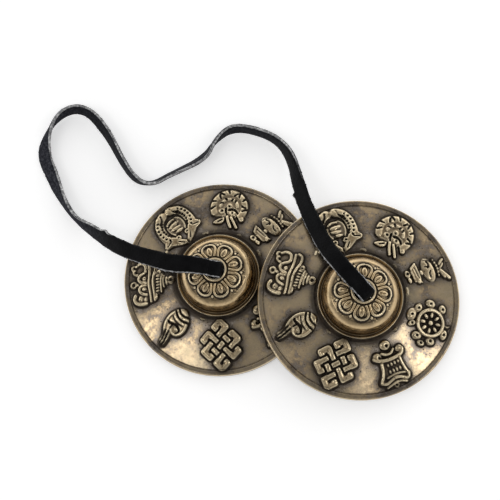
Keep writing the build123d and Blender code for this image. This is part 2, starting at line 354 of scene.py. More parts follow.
def surface(name, group, attribute_names, bump_strength, bump_distance):
    """A material whose look comes from a group, which the mesh's attributes feed."""
    made = bpy.data.materials.new(name)
    made.use_nodes = True
    tree = made.node_tree
    shader = tree.nodes["Principled BSDF"]
    skin = add_node(tree, "Group", node_tree=group)
    for label in attribute_names:
        attribute = add_node(tree, "Attribute", attribute_name=label)
        link(tree, (attribute, "Fac"), (skin, label.capitalize()))
    for output, socket in (("Color", "Base Color"), ("Roughness", "Roughness"), ("Metallic", "Metallic")):
        if output in skin.outputs.keys():
            link(tree, (skin, output), (shader, socket))
    bump = add_node(tree, "Bump", Strength=bump_strength, Distance=bump_distance)
    link(tree, (skin, "Height"), (bump, "Height"))
    link(tree, (bump, "Normal"), (shader, "Normal"))
    return made


# black grain side, napped velvet side, and pale suede where the edge is cut
leather_group, (suede_in, velvet_in), group_out = open_group(
    "leather grain", ("Suede", "Velvet"), ("Color", "Roughness", "Height")
)
grain, creases, fibre, nap = textures(
    leather_group,
    ("TexVoronoi", dict(Scale=1500.0)),
    ("TexNoise", dict(Scale=260.0, Detail=4.0, Roughness=0.6)),
    ("TexNoise", dict(Scale=2600.0, Detail=5.0, Roughness=0.7)),
    ("TexNoise", dict(Scale=1100.0, Detail=6.0, Roughness=0.75)),
)
smooth_side = ramp(
    leather_group, (creases, "Fac"), (0.3, (0.0022, 0.0022, 0.0025)), (0.75, (0.006, 0.006, 0.0068))
)
velvet_side = ramp(
    leather_group, (nap, "Fac"),
    (0.35, (0.008, 0.008, 0.011)), (0.5, (0.03, 0.031, 0.039)), (0.68, (0.085, 0.087, 0.1)),
)
suede_side = ramp(
    leather_group, (nap, "Fac"),
    (0.34, (0.05, 0.05, 0.054)), (0.5, (0.36, 0.36, 0.365)), (0.64, (0.85, 0.85, 0.85)),
)
suede_mask = combined(leather_group, "MULTIPLY_ADD", (fibre, "Fac"), 0.6, suede_in)
suede_cut = ramp(leather_group, suede_mask, (0.55, grey(0)), (0.95, grey(1)))
face_colour = mixed(leather_group, velvet_in, smooth_side, velvet_side)
matt = combined(leather_group, "MAXIMUM", suede_cut, velvet_in)
fill(
    leather_group, group_out,
    Color=mixed(leather_group, suede_cut, face_colour, suede_side),
    Roughness=mapped(leather_group, matt, To_Min=0.42, To_Max=0.95),
    Height=mixed(leather_group, suede_cut, (grain, "Distance"), (fibre, "Fac")),
)

leather = surface("black_leather", leather_group, ("suede", "velvet"), 0.35, 0.2 * MM)
leather.node_tree.nodes["Principled BSDF"].inputs["Specular IOR Level"].default_value = 0.05

route_places = row([p[:3] for p in strap_route])
nearest = [int(np.argmin(np.linalg.norm(route_line - p, axis=1))) for p in route_places]
route_leans = np.interp(np.arange(len(route_line)), nearest, [p[3] for p in strap_route])
line_step = 0.3
strap_line, strap_leans = resampled(route_line, line_step, route_leans)
strap_leans = np.radians(softened(strap_leans, 60))
strap_ways = unit(np.gradient(strap_line, axis=0))
strap_level = unit(np.cross(strap_ways, upward))
strap_upright = unit(np.cross(strap_level, strap_ways))
strap_sides = strap_upright * np.cos(strap_leans)[:, None] + strap_level * np.sin(strap_leans)[:, None]
travelled = along(strap_line)
strap_cup = 0.02 * np.sin(travelled / 19.0)


def nearest_on_strap(place):
    """Number of the strap's sample that lies nearest to a place."""
    return int(np.argmin(np.linalg.norm(strap_line - row(place), axis=1)))


# an old cut: the near edge is torn in to one side of it, and a tongue stands off at the other
torn = nearest_on_strap((3.5, 32.0, 9.4))
near_half = np.full(len(strap_line), strap_width / 2)
torn_steps, torn_depth = 50, 0.45
tongue_steps, tongue_reach = 8, 0.6
near_half[torn - torn_steps:torn] -= np.linspace(0, torn_depth, torn_steps)
near_half[torn:torn + tongue_steps] += np.linspace(tongue_reach, 0, tongue_steps)
# a tuft on the far edge, where the strap twists as it comes down
tuft = nearest_on_strap((-61.0, 15.4, 8.8))
tuft_outline = row((0.1, 0.3, 0.5, 0.7, 0.75, 0.7, 0.6, 0.45, 0.3, 0.2, 0.12, 0.05, 0.02))
far_half = np.full(len(strap_line), strap_width / 2)
far_half[tuft - 4:tuft - 4 + len(tuft_outline)] += tuft_outline
# the far edge shows its pale fibres most along the loops, where the strap stands on its edge
far_pale = np.interp(
    travelled,
    (0, 4, 8, 36, 42, 200, 212, 222, 252, 259),
    (0.5, 0.5, 0.12, 0.12, 1, 1, 0.5, 0.12, 0.12, 0.8),
)
half_widths, pale_edges = (near_half, far_half), (1.0, far_pale)
strap = thong(
    "strap_leather", strap_line, strap_sides, half_widths, strap_thickness / 2, strap_cup, 3, pale_edges
)
# the nap shows along the loops, and is worn smooth where the strap lies over the cymbals
velvet = np.interp(travelled, (38, 56, 96, 112, 190, 208), (0, 1, 1, 0.45, 0.5, 0))
worn = strap.data.attributes.new("velvet", "FLOAT", "POINT")
velvet_all_round = np.concatenate([np.repeat(velvet, points_around), [0, 0]])
worn.data.foreach_set("value", velvet_all_round.astype(np.float32))
strap.data.materials.append(leather)
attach(strap, "strap")
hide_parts("strap")


# Left cymbal
# One casting of antique brass: rim, flange with eight raised symbols, boss with eight petals.
# Its recesses are dark with patina, and its raised lines are rubbed bright and carry a painted highlight.
class Relief:
    """Raised and cut lines drawn on a face; places and sizes in millimetres."""

    def __init__(self, u, v):
        self.u, self.v = u, v
        self.height = np.zeros(u.shape)

    def away(self, points):
        """Distance from a line through the points."""
        best = np.full(self.u.shape, 99.0)
        for (ax, ay), (bx, by) in zip(points, points[1:]):
            dx, dy = bx - ax, by - ay
            t = np.clip(((self.u - ax) * dx + (self.v - ay) * dy) / (dx * dx + dy * dy + 1e-9), 0, 1)
            best = np.minimum(best, np.hypot(self.u - ax - t * dx, self.v - ay - t * dy))
        return best

    def bead(self, points, half_width, height, curved=True):
        """A raised round line."""
        d = self.away(curve(points) if curved else points)
        self.height = np.maximum(self.height, height * np.sqrt(np.clip(1 - (d / half_width) ** 2, 0, 1)))

    def groove(self, points, half_width, depth, curved=True):
        """A cut line."""
        d = self.away(curve(points) if curved else points)
        self.height = self.height - depth * np.clip(1 - (d / half_width) ** 2, 0, 1)

    def plate(self, points, height, edge=0.35, curved=True):
        """A flat raised area inside an outline."""
        line = curve(points + points[:1]) if curved else points + points[:1]
        d = self.away(line)
        crossings = np.zeros(self.u.shape, int)
        for (ax, ay), (bx, by) in zip(line, line[1:]):
            spans = (ay > self.v) != (by > self.v)
            at = (bx - ax) * (self.v - ay) / (by - ay + 1e-12) + ax
            crossings += spans & (self.u < at)
        t = np.clip(np.where(crossings % 2 == 1, d, -d) / edge + 0.5, 0, 1)
        self.height = np.maximum(self.height, height * t * t * (3 - 2 * t))

    def dome(self, x, y, rx, ry, height, turn=0.0):
        """A raised round or oval."""
        c, s = math.cos(math.radians(turn)), math.sin(math.radians(turn))
        a = ((self.u - x) * c + (self.v - y) * s) / rx
        b = (-(self.u - x) * s + (self.v - y) * c) / ry
        self.height = np.maximum(self.height, height * np.sqrt(np.clip(1 - a * a - b * b, 0, 1)))

    def pit(self, x, y, radius, depth):
        """A drilled dot."""
        d = np.hypot(self.u - x, self.v - y)
        self.height = self.height - depth * np.clip(1.2 - (d / radius) ** 2, 0, 1)

    def eye(self, x, y, radius):
        """A bead with a pit in its middle."""
        self.dome(x, y, radius, radius, 0.95)
        self.pit(x, y, radius * 0.42, 0.75)


def curve(points, rounds=2):
    """The points with their corners rounded, ends kept."""
    for _ in range(rounds):
        cut = [points[0]]
        for (ax, ay), (bx, by) in zip(points, points[1:]):
            cut.append((0.75 * ax + 0.25 * bx, 0.75 * ay + 0.25 * by))
            cut.append((0.25 * ax + 0.75 * bx, 0.25 * ay + 0.75 * by))
        points = cut + [points[-1]]
    return points


def circle(x, y, radius, squeeze=1.0, count=20):
    """Points round a circle or oval."""
    turns = [k * 2 * math.pi / count for k in range(count + 1)]
    return [(x + radius * math.cos(t), y + radius * squeeze * math.sin(t)) for t in turns]


def wheel(r):
    """Eight-spoked wheel with nine pitted lobes round it."""
    for x, y, long, wide, turn in (
        (2.0, 6.3, 1.9, 1.3, 0), (5.5, 2.8, 1.5, 1.7, 0), (7.1, 0.1, 1.1, 1.5, 0), (5.3, -1.9, 1.5, 1.8, 10),
        (-0.4, -5.5, 2.2, 1.7, 0), (2.2, -4.6, 0.95, 1.5, 35), (-3.1, -4.1, 1.7, 1.35, -20),
        (-5.8, -0.8, 1.5, 1.8, 0), (-5.5, 3.4, 1.7, 1.4, 20),
    ):
        r.dome(x, y, long, wide, 0.95, turn)
        r.pit(x - 0.1, y + 0.1, 0.45, 0.8)
    r.bead([(-1.2, 7.3), (-0.5, 6.6), (-1.0, 5.8)], 0.36, 0.7)
    r.bead(circle(0, 1.1, 4.15, count=32), 0.74, 1.05, curved=False)
    for k in range(8):
        t = math.radians(45 * k + 8)
        r.dome(2.5 * math.cos(t), 1.1 + 2.5 * math.sin(t), 1.15, 0.72, 0.95, 45 * k + 8)
    r.dome(0, 1.15, 1.05, 1.05, 1.1)


def vase(r):
    """Treasure vase with flags at its mouth, on a striped foot and a ringed ball."""
    r.bead([(-1.8, 7.2), (-1.3, 6.2), (-0.6, 5.4)], 0.55, 0.85)
    r.bead([(1.6, 5.2), (3.0, 6.0), (4.6, 6.9)], 0.85, 1.05)
    r.bead([(2.4, 5.0), (4.0, 5.6)], 0.5, 0.9)
    r.bead([(-0.5, 6.7), (0.2, 5.9), (0.6, 5.2)], 0.45, 0.7)
    r.dome(0.0, 1.3, 4.1, 2.4, 1.05)
    for k in range(6):
        r.dome(-2.6 + 1.05 * k, 4.35 - 0.08 * (k - 2.5) ** 2, 0.62, 0.62, 0.85)
    r.groove([(-3.4, 0.7), (-3.3, 1.8), (-2.5, 2.9)], 0.22, 0.25)
    r.groove([(-2.8, 1.6), (-1.6, 2.0), (-0.6, 1.3)], 0.3, 0.5)
    r.groove([(0.4, 1.8), (1.4, 1.0), (2.4, 1.2)], 0.3, 0.5)
    r.groove([(-1.4, 0.4), (-0.8, 1.8)], 0.26, 0.45)
    r.groove([(-3.2, 3.3), (0.0, 3.75), (3.2, 3.2)], 0.3, 0.75)
    r.dome(0.1, -1.3, 1.0, 0.7, 0.9)
    r.plate([(-3.8, -1.9), (3.5, -2.0), (2.2, -4.7), (-2.5, -4.7)], 0.72, 0.6, curved=False)
    r.bead([(-3.3, -2.4), (-2.2, -4.2)], 0.55, 1.0)
    r.bead([(-1.6, -4.3), (1.7, -4.3)], 0.42, 0.95)
    r.groove([(-2.2, -2.9), (1.4, -2.7)], 0.26, 0.35)
    r.dome(2.4, -3.0, 1.1, 0.9, 1.05, -30)
    r.dome(-0.9, -5.9, 1.45, 1.15, 1.0)
    r.pit(-1.0, -5.8, 0.5, 0.75)
    r.dome(1.2, -5.9, 1.1, 0.8, 0.95)


def lotus(r):
    """Lotus flower: two rows of petals round a bud and two seed beads, a leaf and stems below."""
    r.plate(
        [(-4.9, 2.6), (-4.6, 4.8), (-2.8, 6.6), (0.4, 7.4), (3.4, 7.0), (5.8, 5.2), (6.9, 2.6), (6.6, -0.4),
         (6.4, -3.2), (4.8, -4.4), (3.2, -2.4), (1.0, -2.6), (-1.4, -2.4), (-4.2, -2.8), (-5.6, -1.4),
         (-5.4, 1.0)],
        0.62, 0.9,
    )

    def round_bud(reach, degrees):
        """A point at a distance from the bud."""
        t = math.radians(degrees)
        return 0.7 + reach * math.cos(t), 1.2 + reach * math.sin(t)

    for reach, wide, first, last, step in ((5.2, 1.4, -38, 214, 22), (2.8, 0.8, 5, 185, 36)):
        r.bead([round_bud(reach, t) for t in range(first, last, 6)], wide, 1.02, curved=False)
        for k, place in enumerate(range(first + step, last - step // 2, step)):
            inner = reach - wide * (0.3, 0.6, 0.15)[k % 3]
            outer = reach + wide * (0.55, 0.2, 0.75)[k % 3]
            aslant = (9, -7, 4)[k % 3]
            r.groove([round_bud(inner, place), round_bud(outer, place + aslant)], 0.34, 0.8)
    r.dome(0.9, 1.3, 1.35, 1.6, 1.0)
    r.pit(0.8, 1.3, 0.42, 0.85)
    r.dome(-1.5, -0.6, 1.4, 1.35, 1.1)
    r.pit(-1.4, -0.5, 0.45, 0.9)
    r.dome(2.2, -1.2, 1.45, 1.3, 1.1, -15)
    r.pit(2.1, -1.0, 0.42, 0.75)
    r.groove([(-0.3, 0.7), (-0.1, -0.8), (0.4, -1.9)], 0.34, 0.8)
    r.groove([(0.7, 0.0), (1.8, 0.4), (3.2, 0.1), (3.9, -1.0)], 0.34, 0.8)
    r.dome(5.3, -3.0, 1.15, 1.3, 1.1, 10)
    r.groove([(3.6, -2.4), (4.4, -3.8)], 0.34, 0.8)
    r.plate([(-0.3, -2.6), (-2.4, -3.2), (-4.6, -5.2), (-2.0, -5.5), (-0.2, -4.6)], 0.85, 0.7)
    r.groove([(-1.0, -3.6), (-2.4, -4.6)], 0.3, 0.6)
    r.bead([(0.5, -2.4), (1.1, -4.3), (2.1, -6.2)], 0.65, 1.0)
    r.bead([(1.9, -2.7), (2.9, -4.2), (4.0, -6.2)], 0.65, 1.0)


def fish(r):
    """Two dotted fish that curl round a central swirl, tails below."""
    body = [(1.4, 6.2), (3.2, 5.6), (4.8, 3.6), (5.3, 0.8), (5.2, -1.8), (4.6, -3.0)]
    belly = [(0.4, 3.2), (1.8, 3.0), (2.9, 1.6), (2.9, -0.8), (2.1, -2.4)]
    tail = [
        (3.4, -1.9), (6.6, -2.2), (7.7, -3.6), (7.2, -4.8), (5.0, -5.2),
        (2.4, -7.0), (0.3, -7.9), (0.1, -6.2), (1.3, -4.8), (2.4, -3.2),
    ]
    for side in (-1, 1):
        r.bead([(side * x, y) for x, y in body], 1.8, 1.0)
        r.plate([(side * x, y) for x, y in tail], 0.85, 0.9, curved=False)
        r.groove([(side * 4.6, -3.4), (side * 6.6, -4.0)], 0.28, 0.5)
        r.groove([(side * 2.6, -5.0), (side * 1.3, -6.6)], 0.28, 0.5)
        r.groove([(side * 3.9, 4.0), (side * 2.5, 4.8), (side * 2.0, 6.6)], 0.34, 0.8)
        for k in range(7):
            t = math.radians(42 - 13.5 * k)
            for reach in (4.5, 5.9):
                r.pit(side * (reach * math.cos(t) - 0.05), reach * math.sin(t) + 1.0, 0.4, 0.85)
        r.dome(side * 1.9, -3.9, 1.25, 1.1, 0.95)
        r.pit(side * 1.8, -3.9, 0.4, 0.8)
        r.bead([(side * x, y) for x, y in belly], 0.36, 0.6)
    r.plate(circle(-0.1, 0.3, 2.9, 1.1), 0.4, 0.8, curved=False)
    r.dome(1.0, 6.0, 2.1, 1.15, 1.05, -8)
    r.dome(-3.3, 6.0, 1.4, 1.3, 1.05)
    r.dome(-0.4, 1.0, 2.5, 0.95, 1.05, 6)
    r.dome(-0.6, -0.5, 2.3, 0.85, 1.0, -4)
    r.dome(0.0, -1.9, 1.6, 0.75, 0.95)
    r.bead([(-2.4, 2.2), (-0.8, 3.0), (0.8, 2.7)], 0.5, 0.95)


def parasol(r):
    """Parasol: ringed finial, pleated dome, banded valance and curling ribbons."""
    r.plate(
        [(-6.8, 1.4), (-7.2, 4.0), (-6.2, 6.0), (-4.4, 6.4), (-3.4, 5.0), (0.0, 4.6), (3.6, 5.0), (6.4, 5.2),
         (7.4, 3.4), (7.2, 1.2), (7.0, -1.8), (4.4, -2.2), (2.6, -4.2), (-2.6, -4.2), (-4.4, -1.8),
         (-6.2, -1.6)],
        0.36,
    )
    r.bead([(-6.2, 0.3), (-3.4, 0.4), (0.0, 1.0), (3.2, 0.3), (6.9, 0.5)], 0.62, 1.0)
    r.bead(
        [(-5.8, -1.0), (-3.4, -0.9), (0.0, -0.5), (2.6, -0.9), (4.6, -1.9), (6.9, -1.7), (7.3, -0.4)],
        0.62, 0.95,
    )
    r.bead([(-3.7, 1.7), (-3.1, 3.7), (-1.7, 4.5), (-0.5, 3.6), (-0.4, 2.0)], 0.66, 1.0)
    r.bead(
        [(0.3, 2.0), (0.6, 3.7), (1.9, 4.6), (3.3, 3.5), (3.9, 1.9), (5.2, 1.5), (6.8, 2.1), (7.1, 3.8),
         (6.2, 5.0)],
        0.7, 1.05,
    )
    r.bead([(3.2, 4.6), (3.7, 6.0), (4.6, 6.0)], 0.55, 0.85)
    r.bead([(4.9, 5.3), (5.2, 6.5), (6.3, 6.5), (6.4, 5.7)], 0.5, 0.95)
    r.bead([(-6.6, 2.0), (-6.8, 3.8), (-6.2, 5.6), (-4.8, 6.3), (-3.6, 5.7)], 0.85, 1.05)
    r.dome(-4.9, 3.9, 1.3, 1.2, 0.9, -10)
    r.dome(-5.2, 2.2, 1.1, 0.8, 0.9, -10)
    r.dome(-1.7, 2.6, 0.85, 1.0, 0.95)
    r.dome(1.8, 2.4, 1.05, 0.85, 0.95)
    r.dome(-4.6, -1.5, 1.3, 0.8, 1.0)
    for k in range(6):
        x = -2.9 + 1.0 * k
        r.dome(x, -2.2 - 0.05 * k, 0.48, 1.0, 0.95, -4 * (k - 3))
    r.dome(3.2, -2.8, 1.15, 1.0, 0.95)
    r.pit(3.1, -2.7, 0.36, 0.7)
    r.bead([(-3.4, -3.5), (0.0, -3.4), (2.4, -3.9)], 0.5, 0.98)
    r.bead([(-1.9, -4.5), (0.0, -4.2), (1.8, -4.6)], 0.48, 0.95)
    r.dome(0.1, -5.4, 1.7, 0.6, 1.0)
    r.bead([(0.1, 5.4), (-0.1, 4.6)], 0.6, 0.85)
    r.eye(0.1, 6.2, 1.5)
    r.eye(0.2, -6.8, 1.5)


def conch(r):
    """Conch shell: coiled body, ribbed end and a tail with long grooves."""
    r.plate(
        [(-1.9, 6.0), (-0.9, 7.2), (0.2, 6.7), (0.8, 3.8), (2.2, 2.1), (3.4, -0.4), (3.5, -3.0), (2.4, -5.8),
         (0.2, -7.6), (-1.8, -6.8), (-3.8, -4.6), (-4.4, -2.0), (-4.0, 0.4), (-2.6, 1.8), (-1.2, 1.7),
         (-1.8, 3.6)],
        0.8, 1.1,
    )
    r.bead([(0.2, -0.4), (-0.4, 1.0), (-2.3, 1.4), (-3.6, 0.1), (-3.9, -2.0), (-3.2, -4.2)], 0.7, 1.1)
    r.bead([(0.4, 3.2), (2.2, 1.2), (2.9, -1.0), (2.9, -3.4), (1.6, -5.8)], 0.7, 1.1)
    r.bead([(-1.5, 6.2), (-1.4, 4.0), (-0.6, 2.2)], 0.42, 1.0)
    r.dome(-1.4, -0.3, 0.85, 1.1, 1.05, 30)
    r.groove([(-1.0, 6.6), (-0.9, 4.2), (0.0, 1.6)], 0.3, 0.75)
    r.groove([(-0.2, 6.8), (0.1, 4.4), (1.0, 2.0)], 0.3, 0.7)
    r.groove([(-2.6, -0.9), (-1.2, -1.6), (0.4, -1.2), (1.4, -0.7), (2.2, -0.9)], 0.4, 0.9)
    r.groove([(0.2, 0.4), (0.3, -1.0)], 0.32, 0.7)
    r.groove([(-2.3, 0.6), (-2.9, -0.2), (-2.4, -1.0)], 0.28, 0.5)
    r.groove([(-2.6, -2.6), (-0.8, -2.2), (1.0, -2.5), (2.2, -3.1)], 0.26, 0.5)
    r.groove([(-3.2, -4.4), (-1.2, -3.7), (0.8, -3.9), (2.2, -4.9)], 0.36, 0.8)
    r.groove([(-2.5, -6.0), (-0.9, -5.2), (0.8, -5.4), (1.8, -6.2)], 0.34, 0.75)


def endless_knot(r):
    """Endless knot: round bands woven over and under, with six corner loops."""
    s = math.sqrt(0.5)
    turned_u, turned_v = (r.u + r.v) * s, (r.v - r.u) * s
    band = 2.7
    lines = []
    for k in (-1, 0, 1):
        lines.append([(-band, k * band), (band, k * band)])
        lines.append([(k * band, -band), (k * band, band)])
    for loop in (
        [(1, 1), (1, 2), (2, 2), (2, 1), (1, 1)], [(-1, -1), (-1, -2), (-2, -2), (-2, -1), (-1, -1)],
        [(-1, 1), (-1, 2), (0, 2), (0, 1)], [(-1, 1), (-2, 1), (-2, 0), (-1, 0)],
        [(1, 0), (2, 0), (2, -1), (1, -1)], [(0, -1), (0, -2), (1, -2), (1, -1)],
    ):
        lines.append([(a * band, b * band) for a, b in loop])
    flat = Relief(turned_u, turned_v)
    for line in lines:
        flat.bead(line, 1.18, 1.05, curved=False)
    for i in (-1, 0, 1):
        for j in (-1, 0, 1):
            x, y = i * band, j * band
            for side in (-1.05, 1.05):
                if (i + j) % 2 == 0:
                    cut = [(x - 0.8, y + side), (x + 0.8, y + side)]
                else:
                    cut = [(x + side, y - 0.8), (x + side, y + 0.8)]
                flat.groove(cut, 0.34, 0.9, curved=False)
    r.height = np.maximum(r.height, flat.height)


def banner(r):
    """Victory banner: ringed ball, scrolled shoulders, ribbed body and flared foot."""
    r.plate(
        [(-3.0, -0.6), (3.0, -0.8), (2.8, 0.6), (3.8, 2.4), (5.2, 4.6), (3.6, 6.0), (-3.4, 6.2), (-3.2, 3.4)],
        0.4,
    )
    r.bead(
        [(-3.9, 5.0), (-3.4, 6.5), (-2.2, 6.2), (-1.0, 5.2), (0.8, 4.8), (2.5, 5.3), (4.0, 5.8), (5.6, 5.0)],
        0.7, 1.05,
    )
    r.bead([(-2.3, 7.3), (-0.6, 6.4), (1.0, 6.1), (2.6, 6.6), (4.4, 6.9)], 0.5, 0.95)
    r.bead([(-2.8, 4.5), (-1.2, 4.0), (0.8, 3.8), (3.0, 4.1)], 0.46, 0.9)
    r.bead([(5.5, 4.8), (4.4, 3.6), (3.4, 1.6), (3.1, -0.4)], 0.75, 1.05)
    r.bead([(-3.7, 5.0), (-3.3, 3.4), (-3.1, 1.2), (-3.1, -0.3)], 0.6, 1.0)
    for x in (-1.9, -0.75, 0.4, 1.55):
        r.dome(x, 2.65, 0.56, 0.98, 1.05)
        r.dome(x - 0.15, 0.55, 0.56, 0.85, 1.05)
    r.bead([(-4.9, -2.6), (-4.3, -1.3), (-1.8, -0.9), (1.2, -1.0), (3.6, -1.8), (4.8, -2.8)], 0.8, 1.1)
    r.bead([(-2.1, -3.5), (-1.1, -2.5), (0.7, -2.6), (1.8, -3.5)], 0.62, 1.0)
    r.dome(-4.0, -3.0, 1.5, 1.35, 1.05)
    r.dome(3.6, -3.0, 1.6, 1.6, 1.05)
    r.pit(3.0, -2.6, 0.42, 0.7)
    r.eye(1.2, 7.1, 1.05)
    r.dome(-0.3, -5.5, 1.85, 1.7, 1.05)
    r.pit(-0.6, -5.2, 0.55, 0.8)


cymbal_symbols = [
    (wheel, -19.0), (vase, 23.0), (lotus, 63.0), (fish, 109.0),
    (parasol, 163.5), (conch, 206.0), (endless_knot, 251.0), (banner, 296.0),
]


symbol_circle = 22.8
symbol_half_width, symbol_half_height = 9.0, 8.6
deepest_cut = -0.12
# small leaves beside the symbols: bearing, distance from the middle, half length and half width
small_leaves = (
    (8, 15.3, 1.3, 0.5), (42, 15.2, 0.9, 0.45), (86, 15.2, 1.1, 0.5),
    (134, 19.6, 1.3, 0.6), (229, 15.2, 0.9, 0.4), (318, 15.2, 1.0, 0.4),
)


def outward(bearing, reach, x, y):
    """Places as they lie about a point on the flange, the second measured outwards."""
    c, s = math.cos(math.radians(bearing)), math.sin(math.radians(bearing))
    return x * s - y * c, x * c + y * s - reach


def symbol_heights(x, y):
    """Height of the eight symbols and the small leaves over the flange."""
    height = np.zeros(x.shape)
    for draw, bearing in cymbal_symbols:
        u, v = outward(bearing, symbol_circle, x, y)
        near = (np.abs(u) < symbol_half_width) & (np.abs(v) < symbol_half_height)
        drawn = Relief(u[near], v[near])
        draw(drawn)
        height[near] = np.maximum(height[near], np.maximum(drawn.height, deepest_cut))
    for bearing, reach, long, wide in small_leaves:
        u, v = outward(bearing, reach, x, y)
        leaf = np.sqrt(np.clip(1 - (u / long) ** 2 - (v / wide) ** 2, 0, 1)) * 0.5
        height = np.maximum(height, leaf)
    return height


def petal_heights(x, y):
    """Height of the eight petals over the crown, with casting marks round their outer ends."""
    height = np.zeros(x.shape)
    outer = [(4.4, 1.2), (5.6, 1.8), (6.9, 2.3), (8.0, 2.0), (8.6, 1.1), (8.8, 0.0)]
    petal_step, first_petal = 45, -4
    for k in range(8):
        turn = math.radians(petal_step * k + first_petal)
        along_petal = x * math.cos(turn) + y * math.sin(turn)
        off_petal = -x * math.sin(turn) + y * math.cos(turn)
        near = (along_petal > 3.4) & (np.abs(off_petal) < 3.4)
        petal = Relief(along_petal[near], np.abs(off_petal[near]))
        petal.bead(outer, 0.48, 0.62)
        petal.dome(6.2, 0.0, 1.75, 1.05, 0.66)
        petal.groove([(5.2, 0.0), (6.9, 0.0)], 0.25, 0.3)
        height[near] = np.maximum(height[near], petal.height)
        gap = math.radians(petal_step * (k + 0.5) + first_petal)
        tip = Relief(x, y)
        tip.dome(8.5 * math.cos(gap), 8.5 * math.sin(gap), 0.6, 0.45, 0.5, math.degrees(gap))
        height = np.maximum(height, tip.height)
    marks = np.random.default_rng(12)
    mark_count, mark_circle, mark_radius = 46, 9.25, 0.3
    for k in range(mark_count):
        turn = math.radians(360 / mark_count * k + marks.uniform(-3, 3))
        reach, deep = mark_circle + marks.uniform(-0.25, 0.3), marks.uniform(-0.2, 0.3)
        if deep > 0:
            away = np.hypot(x - reach * math.cos(turn), y - reach * math.sin(turn))
            height = height - deep * np.clip(1.2 - (away / mark_radius) ** 2, 0, 1)
    return height


def run(start, end, count, bow=0.0):
    """Points from start up to end, bowed to one side by a share of the run."""
    t = np.arange(count) / count
    a, b = row(start), row(end)
    side = row((-(b - a)[1], (b - a)[0]))
    return a + (b - a) * t[:, None] + side * (4 * bow * t * (1 - t))[:, None]


cymbal_profile = np.concatenate([
    run((3.0, 12.6), (3.0, 15.7), 4),
    run((3.0, 15.7), (3.3, 16.0), 3, 0.15),
    run((3.3, 16.0), (3.65, 16.0), 2),
    run((3.65, 16.0), (3.95, 15.7), 3, 0.15),
    run((3.95, 15.7), (4.05, 15.2), 2),
    run((4.05, 15.2), (9.25, 13.5), 26, 0.05),
    run((9.25, 13.5), (11.25, 11.9), 9, 0.1),
    run((11.25, 11.9), (12.3, 6.9), 6, 0.06),
    run((12.3, 6.9), (12.75, 6.65), 2, -0.15),
    run((12.75, 6.65), (13.3, 7.4), 3, -0.1),
    run((13.3, 7.4), (13.65, 7.3), 3, 0.35),
    run((13.65, 7.3), (14.0, 6.35), 4, -0.1),
    run((14.0, 6.35), (30.75, 2.75), 66, 0.005),
    run((30.75, 2.75), (30.95, 3.0), 2),
    run((30.95, 3.0), (31.95, 3.0), 4),
    run((31.95, 3.0), (32.5, 2.5), 4, 0.2),
    run((32.5, 2.5), (32.5, 0.5), 2),
    run((32.5, 0.5), (32.05, 0.0), 3, 0.2),
    run((32.05, 0.0), (31.0, 0.0), 1),
    run((31.0, 0.0), (30.7, 0.15), 1),
    run((30.7, 0.15), (14.2, 3.6), 4),
    run((14.2, 3.6), (10.0, 4.3), 1),
    run((10.0, 4.3), (9.7, 4.8), 1),
    run((9.7, 4.8), (5.8, 12.6), 5, -0.1),
])


def blurred(field, rounds):
    """A field over rings and bearings, averaged with its neighbours."""
    for _ in range(rounds):
        field = (np.roll(field, 1, 1) + 2 * field + np.roll(field, -1, 1)) / 4
        field = (np.roll(field, 1, 0) + 2 * field + np.roll(field, -1, 0)) / 4
    return field


def widened(field, rounds):
    """A field over rings and bearings, where its high places have grown outwards."""
    for _ in range(rounds):
        field = np.maximum(field, np.maximum(np.roll(field, 1, 1), np.roll(field, -1, 1)))
        field = np.maximum(field, np.maximum(np.roll(field, 1, 0), np.roll(field, -1, 0)))
    return field


def soft_ring(radius, place, spread):
    """One at a radius, falling off to both sides of it."""
    return np.exp(-(((radius - place) / spread) ** 2))


def with_rings(field, rings, radius, top):
    """A field with soft rings of radius, spread and amount on the casting's upper side."""
    for place, spread, amount in rings:
        field = np.maximum(field, np.where(top, amount * soft_ring(radius, place, spread), 0))
    return field


sectors = 620
flange_inner, flange_outer = 14.0, 31.0
crown_inner, crown_outer, crown_low = 4.0, 9.9, 12.4
# creases that hold patina, and edges that hands have rubbed, which also carry a painted highlight
stained_rings = (
    (4.25, 0.22, 1.0), (9.45, 0.25, 0.35), (12.75, 0.22, 0.75), (14.3, 0.5, 0.9),
    (15.2, 0.9, 0.35), (30.65, 0.25, 0.4), (31.6, 0.5, 0.15),
)
worn_and_highlit_rings = ((13.45, 0.2, 0.5), (32.4, 0.2, 0.5), (3.5, 0.3, 0.8))


